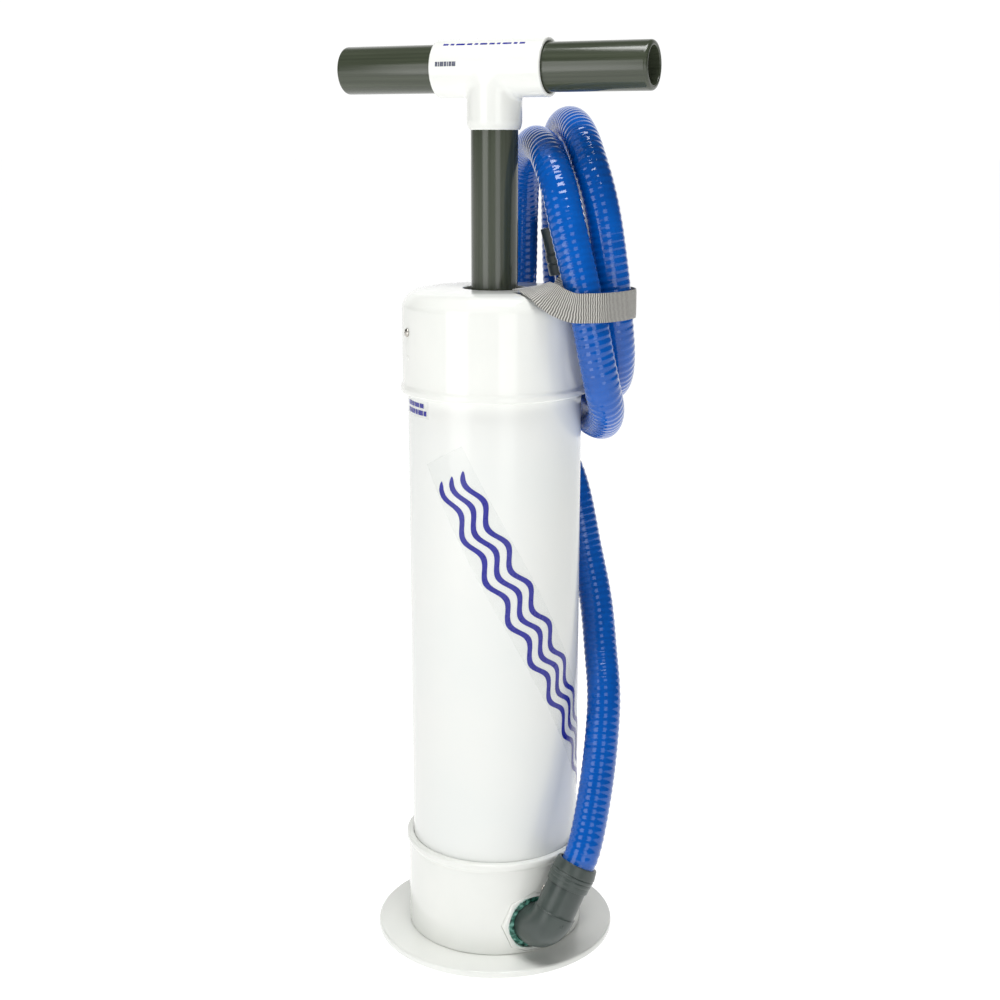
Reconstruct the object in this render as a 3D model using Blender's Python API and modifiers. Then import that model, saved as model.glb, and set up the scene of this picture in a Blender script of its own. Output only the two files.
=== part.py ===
"""A hand bilge pump with a barrel of white plastic pipe, a foot flange, a T-handled
plunger rod and a blue hose that is coiled and strapped at the barrel's side.

The model is in metres with +Z up. Its origin is the centre of the foot flange's underside.
The barrel's front faces -Y, and the outlet is at the front right. The handle is fully down."""

import math

import bmesh
import bpy
from mathutils import Matrix, Vector

# Driving dimensions
GAP = 0.0003  # clearance between assembled pieces
TUBE_R = 0.0797  # outside radius of nominal 6 inch thin-wall pipe
TUBE_BORE = 0.0751
TUBE_TOP = 0.604
PIPE_R = 0.0211  # outside radius of nominal 1 1/4 inch heavy-wall pipe
PIPE_BORE = 0.01625
FLANGE_R = 0.115
FLANGE_T = 0.0064
CAP_R = 0.0845  # outside radius of both end caps
BEAD_R = 0.0863
CAP_FLOOR = 0.005
BASE_CAP_TOP = 0.0995
TOP_CAP_LIP = 0.534
TOP_CAP_SHOULDER = 0.614
TOP_CAP_HEIGHT = 0.6276
TOP_CAP_FLAT_R = 0.062
TOP_CAP_WALL = 0.0056
ROD_HOLE_R = 0.029
TEE_R = 0.0253
TEE_HALF = 0.0527
TEE_STEM_R = 0.0247
TEE_BOTTOM = 0.7666
SHAFT_TOP = 0.7965
HANDLE_Z = 0.8195
HANDLE_YAW = math.radians(-24.3)
GRIP_INNER = 0.018
GRIP_OUTER = 0.148
PORT_AZIMUTH = math.radians(26)
PORT_Z = 0.0365
PORT_CORNER = 0.107  # from the barrel's axis to the elbow's corner
ELBOW_TILT = math.radians(28)
ELBOW_LEG = 0.058
CUFF_LOW = 0.049  # the hose cuff's ends, measured along the elbow's leg
CUFF_HIGH = 0.0725
HOSE_STRAIGHT = 0.084  # where the hose starts to bend
HOSE_R = 0.0162
HOSE_WALL = 0.003
CUFF_PLAY = 0.001  # between the hose and the bore of its cuffs
STRAP_WIDTH = 0.0254
STRAP_T = 0.0015
STRAP_SCREW_AT = (0.047, -0.031)

# Piston stack, heights with the handle fully down
PISTON_TOP = 0.0983
UPPER_PLATE_T = 0.012
CUP_TOP = 0.086
LOWER_PLATE_LOW = 0.072
PORT_CIRCLE_R = 0.042
PORT_R = 0.0075
PORT_COUNT = 6
BOLT_R = 0.005
BOLT_HOLE_R = 0.0054
BOLT_HEAD_Z = 0.1253
BOLT_END = 0.0498

PARTS = "hand_bilge_pump"
CUTTERS = "cutters"
ROUND = 32  # sides of a large turned piece
SMALL = 16  # sides of a small turned piece


# Scene helpers
def clear_scene():
    for obj in list(bpy.data.objects):
        bpy.data.objects.remove(obj, do_unlink=True)
    for name in (PARTS, CUTTERS):
        collection = bpy.data.collections.new(name)
        bpy.context.scene.collection.children.link(collection)


def material(name, colour, roughness, metallic=0.0):
    found = bpy.data.materials.get(name)
    if found:
        return found
    made = bpy.data.materials.new(name)
    made.use_nodes = True
    shader = made.node_tree.nodes["Principled BSDF"]
    shader.inputs["Base Color"].default_value = (*colour, 1)
    shader.inputs["Roughness"].default_value = roughness
    shader.inputs["Metallic"].default_value = metallic
    return made


def white_plastic():
    return material("white_plastic", (0.86, 0.87, 0.86), 0.25)


def grey_pipe():
    return material("grey_pipe", (0.10, 0.11, 0.08), 0.35)


def grey_fitting():
    return material("grey_fitting", (0.11, 0.13, 0.13), 0.45)


def hose_blue():
    return material("hose_blue", (0.01, 0.09, 0.5), 0.25)


def webbing_grey():
    return material("webbing_grey", (0.3, 0.29, 0.27), 0.8)


def steel():
    return material("steel", (0.6, 0.6, 0.58), 0.3, 1.0)


def black_rubber():
    return material("black_rubber", (0.02, 0.02, 0.02), 0.6)


def sealing_compound():
    return material("sealing_compound", (0.04, 0.3, 0.24), 0.5)


def add_object(name, data, paint=None, parent=None, collection=PARTS):
    obj = bpy.data.objects.new(name, data)
    bpy.data.collections[collection].objects.link(obj)
    if paint:
        data.materials.append(paint)
    obj.parent = parent
    return obj


def empty(name, location=(0, 0, 0), rotation=(0, 0, 0), parent=None):
    obj = add_object(name, None, parent=parent)
    obj.location = location
    obj.rotation_euler = rotation
    return obj


def as_cutter(obj):
    bpy.data.collections[PARTS].objects.unlink(obj)
    bpy.data.collections[CUTTERS].objects.link(obj)
    obj.hide_render = True
    obj.display_type = "WIRE"
    return obj


def combine(obj, other, operation="DIFFERENCE"):
    modifier = obj.modifiers.new(operation.title(), "BOOLEAN")
    modifier.operation = operation
    modifier.solver = "EXACT"
    modifier.object = other


# Shape helpers
def turned(name, profile, paint=None, parent=None, closed=True, sides=ROUND):
    """Turns a profile about local Z. Its (radius, height) points run down the outside."""
    mesh = bpy.data.meshes.new(name)
    count = len(profile)
    edges = [(i, i + 1) for i in range(count - 1)]
    if closed:
        edges.append((count - 1, 0))
    mesh.from_pydata([(r, 0, z) for r, z in profile], edges, [])
    obj = add_object(name, mesh, paint, parent)
    screw = obj.modifiers.new("Turn", "SCREW")
    screw.steps = screw.render_steps = sides
    screw.use_merge_vertices = True
    screw.merge_threshold = 0.00001
    screw.use_smooth_shade = True
    return obj


def rod_profile(radius, low, high, edge=0.0):
    """A solid round bar from low to high, with its ends chamfered by edge."""
    if edge:
        return [(0, high), (radius - edge, high), (radius, high - edge),
                (radius, low + edge), (radius - edge, low), (0, low)]
    return [(0, high), (radius, high), (radius, low), (0, low)]


def ring_profile(outer, inner, low, high, edge=0.0):
    """A ring or pipe from low to high, with its outer edges chamfered."""
    if edge:
        return [(inner, high), (outer - edge, high), (outer, high - edge),
                (outer, low + edge), (outer - edge, low), (inner, low)]
    return [(inner, high), (outer, high), (outer, low), (inner, low)]


def bar(name, radius, low, high, paint=None, parent=None, sides=SMALL, edge=0.0):
    return turned(name, rod_profile(radius, low, high, edge), paint, parent, False, sides)


def ring(name, outer, inner, low, high, paint=None, parent=None, sides=ROUND, edge=0.0):
    return turned(name, ring_profile(outer, inner, low, high, edge), paint, parent, True, sides)


def arc(radius_r, radius_z, centre_r, centre_z, start, stop, count):
    """Points on an elliptical arc, angles in degrees from the +radius direction."""
    points = []
    for i in range(count + 1):
        angle = math.radians(start + (stop - start) * i / count)
        points.append((centre_r + radius_r * math.cos(angle), centre_z + radius_z * math.sin(angle)))
    return points


def prism(name, sides, across_flats, low, high, paint=None, parent=None, edge=0.0, turn=0.0):
    """A regular prism about local Z, with the top edge chamfered."""
    radius = across_flats / 2 / math.cos(math.pi / sides)
    mesh = bpy.data.meshes.new(name)
    shape = bmesh.new()
    bmesh.ops.create_cone(shape, cap_ends=True, segments=sides, radius1=radius, radius2=radius,
                          depth=high - low)
    spin = Matrix.Rotation(math.pi / sides + turn, 4, "Z")
    shift = Matrix.Translation((0, 0, (low + high) / 2))
    bmesh.ops.transform(shape, matrix=shift @ spin, verts=shape.verts)
    if edge:
        top = [e for e in shape.edges if all(v.co.z > high - GAP for v in e.verts)]
        bmesh.ops.bevel(shape, geom=top, offset=edge, segments=1, affect="EDGES")
    shape.to_mesh(mesh)
    shape.free()
    return add_object(name, mesh, paint, parent)


def spans(points, step):
    """How many pieces of about step each stretch between two points is cut into."""
    return [max(1, round((stop - start).length / step)) for start, stop in zip(points, points[1:])]


def catmull_rom(points, counts):
    """A smooth curve through the points, with counts[i] samples in stretch i."""
    ends = [2 * points[0] - points[1]] + points + [2 * points[-1] - points[-2]]
    samples = []
    for i, count in enumerate(counts):
        before, start, stop, after = ends[i:i + 4]
        for k in range(count):
            t = k / count
            samples.append(0.5 * (2 * start + (stop - before) * t
                                  + (2 * before - 5 * start + 4 * stop - after) * t * t
                                  + (3 * start - before - 3 * stop + after) * t ** 3))
    samples.append(points[-1])
    return samples


def pipe_along(name, path, radii, wall, paint, parent=None, resolution=2):
    """An open-ended pipe along a path. Its outside radius can change from point to point."""
    curve = bpy.data.curves.new(name, "CURVE")
    curve.dimensions = "3D"
    curve.bevel_depth = 1.0
    curve.bevel_resolution = resolution
    curve.twist_mode = "MINIMUM"
    spline = curve.splines.new("POLY")
    spline.points.add(len(path) - 1)
    for point, place, radius in zip(spline.points, path, radii):
        point.co = (*place, 1)
        point.radius = radius
    guide = add_object(name + "_guide", curve)
    graph = bpy.context.evaluated_depsgraph_get()
    mesh = bpy.data.meshes.new_from_object(guide.evaluated_get(graph))
    bpy.data.objects.remove(guide, do_unlink=True)
    mesh.name = name
    mesh.materials.clear()
    obj = add_object(name, mesh, paint, parent)
    shell = obj.modifiers.new("Wall", "SOLIDIFY")
    shell.thickness = wall
    shell.offset = -1
    shell.use_even_offset = True
    for face in mesh.polygons:
        face.use_smooth = True
    return obj


def ribbon(name, stations, paint):
    """A flat band through stations of (centre, direction of its upper edge)."""
    places = [place for place, _ in stations]
    counts = spans(places, STRAP_WIDTH / 4)
    centres = catmull_rom(places, counts)
    tops = catmull_rom([Vector(top).normalized() for _, top in stations], counts)
    shape = bmesh.new()
    rows = []
    for i, (centre, top) in enumerate(zip(centres, tops)):
        ahead = centres[min(i + 1, len(centres) - 1)] - centres[max(i - 1, 0)]
        top = (top - ahead * top.dot(ahead) / ahead.length_squared).normalized()
        normal = ahead.cross(top).normalized()
        corners = []
        for across, through in ((1, 1), (1, -1), (-1, -1), (-1, 1)):
            offset = top * across * STRAP_WIDTH / 2 + normal * through * STRAP_T / 2
            corners.append(shape.verts.new(centre + offset))
        rows.append(corners)
    for first, second in zip(rows, rows[1:]):
        for k in range(4):
            shape.faces.new((first[k], first[k - 3], second[k - 3], second[k]))
    shape.faces.new(rows[0][::-1])
    shape.faces.new(rows[-1])
    bmesh.ops.recalc_face_normals(shape, faces=shape.faces)
    mesh = bpy.data.meshes.new(name)
    shape.to_mesh(mesh)
    shape.free()
    return add_object(name, mesh, paint)


def box(name, low, high, parent=None):
    mesh = bpy.data.meshes.new(name)
    shape = bmesh.new()
    bmesh.ops.create_cube(shape, size=1)
    low, high = Vector(low), Vector(high)
    scale = Matrix.Diagonal((*(high - low), 1))
    bmesh.ops.transform(shape, matrix=Matrix.Translation((low + high) / 2) @ scale, verts=shape.verts)
    shape.to_mesh(mesh)
    shape.free()
    return add_object(name, mesh, None, parent)


def radial_frame(name, azimuth, height):
    """An empty whose +Z points out of the barrel, and whose +Y points up."""
    return empty(name, (0, 0, height), (math.pi / 2, 0, azimuth))


# Barrel
def base_flange():
    edge = 0.0015
    profile = [(0, FLANGE_T), (FLANGE_R - 2 * edge, FLANGE_T), (FLANGE_R - edge / 2, FLANGE_T - edge / 2),
               (FLANGE_R, FLANGE_T - 2 * edge), (FLANGE_R, edge), (FLANGE_R - edge, 0), (0, 0)]
    return turned("base_flange", profile, white_plastic(), closed=False, sides=48)


def base_cap():
    bore = TUBE_R + 0.0004
    low = FLANGE_T + GAP
    floor = low + CAP_FLOOR
    profile = [(0, floor), (bore, floor), (bore, BASE_CAP_TOP), (BEAD_R - 0.002, BASE_CAP_TOP),
               (BEAD_R, BASE_CAP_TOP - 0.002), (BEAD_R, BASE_CAP_TOP - 0.005),
               (CAP_R, BASE_CAP_TOP - 0.0075), (CAP_R, low + 0.001), (CAP_R - 0.001, low), (0, low)]
    return turned("base_cap", profile, white_plastic(), closed=False)


def cylinder_tube():
    low = FLANGE_T + GAP + CAP_FLOOR + GAP
    return ring("cylinder_tube", TUBE_R, TUBE_BORE, low, TUBE_TOP, white_plastic())


def top_cap():
    bore = TUBE_R + 0.0004
    ceiling = TOP_CAP_HEIGHT - TOP_CAP_WALL
    shoulder_r = CAP_R - TOP_CAP_FLAT_R
    shoulder_z = TOP_CAP_HEIGHT - TOP_CAP_SHOULDER
    outside = arc(shoulder_r, shoulder_z, TOP_CAP_FLAT_R, TOP_CAP_SHOULDER, 90, 0, 6)
    inside = arc(bore - TOP_CAP_FLAT_R, shoulder_z - TOP_CAP_WALL, TOP_CAP_FLAT_R, TOP_CAP_SHOULDER, 0, 90, 4)
    lip = [(CAP_R, TOP_CAP_LIP + 0.0075), (BEAD_R, TOP_CAP_LIP + 0.005), (BEAD_R, TOP_CAP_LIP + 0.002),
           (BEAD_R - 0.002, TOP_CAP_LIP), (bore, TOP_CAP_LIP)]
    rim = 0.001
    hole = [(ROD_HOLE_R, ceiling), (ROD_HOLE_R, TOP_CAP_HEIGHT - rim), (ROD_HOLE_R + rim, TOP_CAP_HEIGHT)]
    return turned("top_cap", outside + lip + inside + hole, white_plastic())


def flange_screws(flange, cap):
    """Countersunk screws that go up through the flange into the base cap's floor."""
    circle_r, head_r, shank_r = 0.055, 0.0045, 0.002
    tip = FLANGE_T + GAP + CAP_FLOOR - 0.0012
    for i in range(4):
        angle = math.radians(45 + 90 * i)
        place = (circle_r * math.cos(angle), circle_r * math.sin(angle), 0)
        profile = [(0, tip), (shank_r, tip), (shank_r, 0.0032), (head_r, 0.0008), (head_r, 0.0005),
                   (0, 0.0005)]
        screw = turned(f"flange_screw_{i + 1}", profile, steel(), closed=False, sides=12)
        clear = [(0, tip + GAP), (shank_r + GAP, tip + GAP), (shank_r + GAP, 0.0034),
                 (head_r + GAP, 0.0010), (head_r + GAP, -0.002), (0, -0.002)]
        hole = as_cutter(turned(f"flange_hole_{i + 1}", clear, closed=False, sides=12))
        screw.location = hole.location = place
        combine(flange, hole)
        combine(cap, hole)


def wall_screws(name, azimuths, height, cap, tube):
    """Pan-head screws that go in through a cap's side into the barrel tube."""
    head_r, shank_r, tip = 0.0039, 0.0019, TUBE_BORE + 0.0006
    seat = CAP_R + GAP
    for i, azimuth in enumerate(azimuths):
        frame = radial_frame(f"{name}_frame_{i + 1}", azimuth, height)
        profile = [(0, seat + 0.0022), (head_r - 0.0014, seat + 0.0020), (head_r - 0.0004, seat + 0.0012),
                   (head_r, seat), (shank_r, seat), (shank_r, tip), (0, tip)]
        turned(f"{name}_{i + 1}", profile, steel(), frame, closed=False, sides=12)
        hole = bar(f"{name}_hole_{i + 1}", shank_r + GAP, tip - 0.005, seat + 0.004, parent=frame)
        as_cutter(hole)
        combine(cap, hole)
        combine(tube, hole)


# Outlet
def outlet(cap, tube):
    """The octagon-headed bushing, its check valve, the sealing ring and the elbow."""
    frame = radial_frame("port_frame", PORT_AZIMUTH, PORT_Z)
    head_flats, head_turn, head_back, face = 0.058, math.pi / 8, 0.0762, 0.084
    inner_end, seat_end, chamber_end = 0.062, 0.065, 0.0723
    boss_end, boss_r, seat_r, chamber_r = 0.0682, 0.0125, 0.0105, 0.018
    body_r, socket_r, mouth_r = 0.0235, 0.0203, 0.0258
    mouth = face - 0.0037
    low_side = -0.028  # the head's lowest corner is cut off here, clear of the flange

    bushing = prism("outlet_bushing", 8, head_flats, head_back, face, white_plastic(), frame,
                    0.0012, head_turn)
    body = turned("outlet_bushing_body", rod_profile(body_r, inner_end, 0.080), None, frame, False, 24)
    combine(bushing, as_cutter(body), "UNION")
    trim = box("outlet_head_trim", (-0.04, -0.05, 0.07), (0.04, low_side, 0.1), frame)
    combine(bushing, as_cutter(trim))
    bore = [(0, face + 0.01), (mouth_r, face + 0.01), (mouth_r, mouth), (socket_r, mouth),
            (socket_r, chamber_end), (chamber_r, chamber_end), (chamber_r, seat_end), (boss_r, seat_end),
            (boss_r, boss_end), (seat_r, boss_end), (seat_r, inner_end - 0.01), (0, inner_end - 0.01)]
    combine(bushing, as_cutter(turned("outlet_bore", bore, None, frame, False, 24)))

    window = prism("outlet_window", 8, head_flats + 2 * GAP, head_back - GAP, 0.1, None, frame,
                   turn=head_turn)
    sill = box("outlet_window_sill", (-0.04, -0.05, 0.07), (0.04, low_side - GAP, 0.12), frame)
    combine(window, as_cutter(sill))
    hole = bar("outlet_hole", body_r + GAP, 0.06, 0.1, None, frame, 24)
    for cutter in (window, hole):
        as_cutter(cutter)
        combine(cap, cutter)
        combine(tube, cutter)

    sealing = [(socket_r, mouth + 0.0032), (mouth_r - 0.0015, mouth + 0.0032),
               (mouth_r - GAP, mouth + 0.0018), (mouth_r - GAP, mouth + GAP), (socket_r, mouth + GAP)]
    turned("sealing_ring", sealing, sealing_compound(), frame, True, 24)
    check_valve(bushing, frame)
    elbow(frame)


def check_valve(bushing, frame):
    """A flap that hangs on a pin against the bushing's seat and opens outwards."""
    pin_y, pin_z, pin_r, pin_half = 0.0152, 0.0679, 0.001, 0.0115
    hinge = empty("outlet_flap_hinge", (0, pin_y, pin_z), (0, math.pi / 2, 0), frame)
    bar("outlet_flap_pin", pin_r, -pin_half, pin_half, steel(), hinge, 12)
    pin_hole = bar("pin_hole", pin_r + GAP, -pin_half - GAP, pin_half + GAP, None, hinge, 12)
    combine(bushing, as_cutter(pin_hole))

    flap = ring("outlet_flap", 0.0022, pin_r + GAP, -0.004, 0.004, black_rubber(), hinge, 16)
    disc = bar("outlet_flap_disc", 0.0123, 0.0006, 0.0026, None, frame, 24)
    disc.location.z = pin_z
    neck = box("outlet_flap_neck", (-0.0035, 0.008, pin_z + 0.0006),
               (0.0035, pin_y - 0.0016, pin_z + 0.0022), frame)
    combine(disc, as_cutter(neck), "UNION")
    combine(flap, as_cutter(disc), "UNION")


def leg_point(distance):
    """A point on the elbow's upper leg, in the port frame."""
    return Vector((math.sin(ELBOW_TILT), math.cos(ELBOW_TILT), 0)) * distance + Vector((0, 0, PORT_CORNER))


def elbow(frame):
    bend, spigot_r, leg_r, start = 0.020, 0.0200, 0.0188, 0.0726
    leg = leg_point(1) - leg_point(0)
    out = Vector((0, 0, 1))
    path, radii = [out * start, out * 0.080], [spigot_r, spigot_r]
    steps = 6
    for i in range(steps + 1):
        angle = math.pi / 2 * i / steps
        along = out * (PORT_CORNER - bend + bend * math.sin(angle))
        path.append(along + leg * bend * (1 - math.cos(angle)))
        radii.append(spigot_r)
    path += [leg_point(0.028), leg_point(ELBOW_LEG)]
    radii += [leg_r, leg_r]
    pipe_along("outlet_elbow", path, radii, 0.0035, grey_fitting(), frame, 7)

    top = empty("cuff_frame", leg_point(0), (-math.pi / 2, 0, -ELBOW_TILT), frame)
    low_bore, high_bore, step = leg_r + GAP, HOSE_R + CUFF_PLAY, ELBOW_LEG + GAP
    band_low, band_r, rim_r, root_r = 0.0625, 0.0212, 0.0194, 0.0201
    profile = [(high_bore, CUFF_HIGH), (rim_r - 0.0006, CUFF_HIGH), (rim_r, CUFF_HIGH - 0.0008),
               (band_r, band_low + 0.0008), (root_r, band_low)]
    ridges, pitch = 3, 0.004
    for i in range(ridges):
        ridge_high, ridge_r = band_low - 0.0004 - pitch * i, 0.0209 - 0.0003 * i
        profile += [(ridge_r, ridge_high - 0.0008), (ridge_r, ridge_high - 0.0024),
                    (root_r, ridge_high - 0.0034)]
    profile += [(root_r, CUFF_LOW), (low_bore, CUFF_LOW), (low_bore, step), (high_bore, step)]
    turned("hose_cuff", profile, grey_fitting(), top, True, 24)


# Hose and strap. Positions in millimetres, named by where the hose runs.
RISER = ((91, -62, 142), (99, -41, 186), (104, -16, 237), (102, 10, 278), (98, 32, 322), (89, 50, 367),
         (74, 68, 435), (49, 92, 484), (32, 108, 526), (23, 115, 575), (25, 118, 634), (26, 114, 696))
FIRST_LOOP_TOP = ((28, 92, 737), (36, 56, 754), (44, 18, 751), (50, -12, 738))
FIRST_STRAND = ((57, -35, 715), (63, -49, 687), (70.5, -58, 656), (77, -65, 629), (83, -69, 603),
                (88.5, -70, 575), (95, -65, 545))
FIRST_LOOP_BOTTOM = ((100, -46, 524), (100, -16, 508), (96, 16, 502), (90, 50, 502), (83, 86, 512))
SECOND_RISE = ((75, 120, 536), (68, 141, 572), (64, 150, 621), (62, 150, 680), (61, 140, 734))
SECOND_LOOP_TOP = ((62, 116, 760), (66, 84, 771), (72, 48, 771), (78, 14, 759), (84.5, -12, 737))
SECOND_STRAND = ((91, -25, 713), (96, -32, 689), (100, -36, 663), (104, -38, 633), (107, -38, 602),
                 (110, -29, 572))
SECOND_LOOP_BOTTOM = ((110.5, -8, 549.5), (107.5, 20, 536.5), (101, 52, 534), (93, 82, 546))
FREE_END = ((86, 101, 573), (79, 109, 610), (73, 111, 634), (66, 112, 664))


def hose_start():
    """The two ends of the straight piece of hose in the elbow's cuff, in world space."""
    port = Matrix.Translation((0, 0, PORT_Z)) @ Matrix.Rotation(PORT_AZIMUTH, 4, "Z")
    port = port @ Matrix.Rotation(math.pi / 2, 4, "X")
    return [port @ leg_point(distance) for distance in (ELBOW_LEG + 2 * GAP, HOSE_STRAIGHT)]


def hose():
    places = (RISER + FIRST_LOOP_TOP + FIRST_STRAND + FIRST_LOOP_BOTTOM + SECOND_RISE
              + SECOND_LOOP_TOP + SECOND_STRAND + SECOND_LOOP_BOTTOM + FREE_END)
    points = hose_start() + [Vector(place) / 1000 for place in places]
    path = catmull_rom(points, spans(points, 0.028))
    pipe_along("hose", path, [HOSE_R] * len(path), HOSE_WALL, hose_blue())

    mouth, before = points[-1], points[-2]
    axis = (mouth - before).normalized()
    cuff = empty("end_cuff_frame", mouth - axis * 0.032, axis.to_track_quat("Z", "Y").to_euler())
    bore, mouth_r, length, throat = HOSE_R + CUFF_PLAY, 0.015, 0.046, 0.0328
    profile = [(mouth_r, length), (0.0186, length), (0.0192, length - 0.001), (0.0192, 0.020),
               (0.0204, 0.018), (0.0204, 0.001), (0.0198, 0), (bore, 0), (bore, throat), (mouth_r, throat)]
    turned("hose_end_cuff", profile, grey_fitting(), cuff, True, 20)


def strap(cap):
    """One length of webbing. Both ends lie flat on the top cap, one on the other."""
    up = (0, 0, 1)
    stations = (
        ((27, -44, 631.1), (0.12, 1, -0.04)), ((32.6, -55, 632.3), (0.25, 0.93, 0.05)),
        ((39.2, -68.5, 632), (0.24, 0.85, 0.44)), ((46.6, -78.5, 627.6), (0.12, 0.55, 0.83)),
        ((56, -85.5, 622.2), (0.03, 0.2, 0.97)), ((68, -88.8, 618.3), up), ((82, -88, 618), up),
        ((94, -85, 618), up), ((108, -69, 617.5), up), ((119, -54, 617.5), up), ((124.8, -39, 617.5), up),
        ((121.5, -26, 618), up), ((111, -18.5, 619), up), ((97, -16.5, 624), (0, 0.2, 1)),
        ((82, -18, 632.5), (0, 0.5, 0.87)), ((66, -25, 636), (0.1, 0.86, 0.5)),
        ((52, -30, 630.2), (0.1, 0.99, 0.1)), ((36, -35, 628.8), (0.1, 1, 0)),
        ((23, -39, 628.8), (0.1, 1, 0)))
    band = ribbon("hose_strap", [(Vector(place) / 1000, top) for place, top in stations], webbing_grey())
    head_low, shank_r, tip = 0.0322, 0.0019, 0.0188
    frame = empty("strap_screw_frame", (*STRAP_SCREW_AT, 0.6))
    profile = [(0, head_low + 0.002), (0.0026, head_low + 0.0018), (0.0037, head_low), (shank_r, head_low),
               (shank_r, tip), (0, tip)]
    turned("strap_screw", profile, steel(), frame, closed=False, sides=12)
    hole = as_cutter(bar("strap_screw_hole", shank_r + GAP, tip - 0.002, head_low + 0.004, None, frame))
    combine(band, hole)
    combine(cap, hole)


# Rod and handle
def handle():
    frame = empty("handle_frame", (0, 0, HANDLE_Z), (0, math.pi / 2, HANDLE_YAW))
    tee = bar("handle_tee", TEE_R, -TEE_HALF, TEE_HALF, white_plastic(), frame, 28, 0.0012)
    stem = [(0, HANDLE_Z), (TEE_STEM_R, HANDLE_Z), (TEE_STEM_R, TEE_BOTTOM + 0.008),
            (TEE_STEM_R - 0.0006, TEE_BOTTOM + 0.004), (TEE_STEM_R - 0.0022, TEE_BOTTOM), (0, TEE_BOTTOM)]
    combine(tee, as_cutter(turned("tee_stem", stem, closed=False, sides=28)), "UNION")
    socket_r, passage_r, ledge, past_end = PIPE_R + GAP, 0.0175, GRIP_INNER - GAP, TEE_HALF + 0.01
    across = [(0, past_end), (socket_r, past_end), (socket_r, ledge), (passage_r, ledge)]
    across += [(r, -z) for r, z in reversed(across)]
    combine(tee, as_cutter(turned("tee_cross_bore", across, None, frame, False, 28)))
    down = [(0, HANDLE_Z), (passage_r, HANDLE_Z), (passage_r, SHAFT_TOP + GAP), (socket_r, SHAFT_TOP + GAP),
            (socket_r, TEE_BOTTOM - 0.01), (0, TEE_BOTTOM - 0.01)]
    combine(tee, as_cutter(turned("tee_stem_bore", down, closed=False, sides=28)))

    edge = 0.0015
    grip = [(PIPE_BORE, GRIP_OUTER - edge), (PIPE_BORE + edge, GRIP_OUTER), (PIPE_R - edge, GRIP_OUTER),
            (PIPE_R, GRIP_OUTER - edge), (PIPE_R, GRIP_INNER), (PIPE_BORE, GRIP_INNER)]
    turned("right_grip", grip, grey_pipe(), frame, True, 28)
    mirrored = [(r, -z) for r, z in reversed(grip)]
    turned("left_grip", mirrored, grey_pipe(), frame, True, 28)


def rod():
    low = PISTON_TOP + GAP
    ring("pump_rod", PIPE_R, PIPE_BORE, low, SHAFT_TOP, grey_pipe(), sides=28)
    ring("rod_end_plug", PIPE_BORE - GAP, BOLT_HOLE_R, low, BOLT_HEAD_Z - GAP, white_plastic(),
         sides=24, edge=0.001)
    bolt = prism("piston_bolt", 6, 0.016, BOLT_HEAD_Z, BOLT_HEAD_Z + 0.0064, steel(), None, 0.001)
    shank = bar("piston_bolt_shank", BOLT_R, BOLT_END, BOLT_HEAD_Z + 0.001, edge=0.001)
    combine(bolt, as_cutter(shank), "UNION")


# Piston
def piston():
    """Two clamp plates with through holes, and between them a cup-shaped seal."""
    hub_r, rim_r, web, edge = 0.0505, 0.0695, 0.0827, 0.003
    low = PISTON_TOP - UPPER_PLATE_T
    upper = ring("piston_upper_plate", 0.0736, BOLT_HOLE_R, low, PISTON_TOP, white_plastic(), edge=0.001)
    lower_profile = [(BOLT_HOLE_R, CUP_TOP), (hub_r, CUP_TOP), (hub_r, web), (rim_r, web),
                     (rim_r, LOWER_PLATE_LOW + edge), (rim_r - edge, LOWER_PLATE_LOW),
                     (BOLT_HOLE_R, LOWER_PLATE_LOW)]
    lower = turned("piston_lower_plate", lower_profile, white_plastic())
    for i in range(PORT_COUNT):
        angle = 2 * math.pi * i / PORT_COUNT
        hole = as_cutter(bar(f"piston_port_{i + 1}", PORT_R, 0.06, 0.11, sides=12))
        hole.location = (PORT_CIRCLE_R * math.cos(angle), PORT_CIRCLE_R * math.sin(angle), 0)
        combine(upper, hole)
        combine(lower, hole)

    web_low, lip, lip_r = web + GAP, 0.0685, TUBE_BORE - 0.0004
    cup = [(hub_r + GAP, CUP_TOP), (lip_r - 0.001, CUP_TOP), (lip_r - 0.0003, CUP_TOP - 0.001),
           (lip_r, lip + 0.001), (lip_r - 0.0008, lip), (lip_r - 0.0035, lip + 0.003),
           (lip_r - 0.0035, web_low), (hub_r + GAP, web_low)]
    turned("piston_cup_seal", cup, black_rubber())


def inlet_valve():
    """A rubber disc that rides on a sleeve and closes the piston's holes from below."""
    flap_low, flap_t, sleeve_r = 0.0639, 0.0025, 0.0075
    ring("inlet_flap", 0.053, sleeve_r + 0.0006, flap_low, flap_low + flap_t, black_rubber())
    ring("inlet_flap_sleeve", sleeve_r, BOLT_HOLE_R, flap_low, LOWER_PLATE_LOW - GAP, steel(), sides=SMALL)
    high = flap_low - GAP
    low = high - 0.0025
    ring("inlet_flap_retainer", 0.024, BOLT_HOLE_R, low, high, steel(), sides=24, edge=0.0005)
    nut = prism("piston_lock_nut", 6, 0.017, 0.0525, low - GAP, steel())
    combine(nut, as_cutter(bar("lock_nut_bore", BOLT_HOLE_R, 0.05, 0.07)))


def bottom_bumper():
    low = FLANGE_T + GAP + CAP_FLOOR + GAP
    bar("bottom_bumper", 0.022, low, BOLT_END - GAP, black_rubber(), sides=24, edge=0.002)


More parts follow.
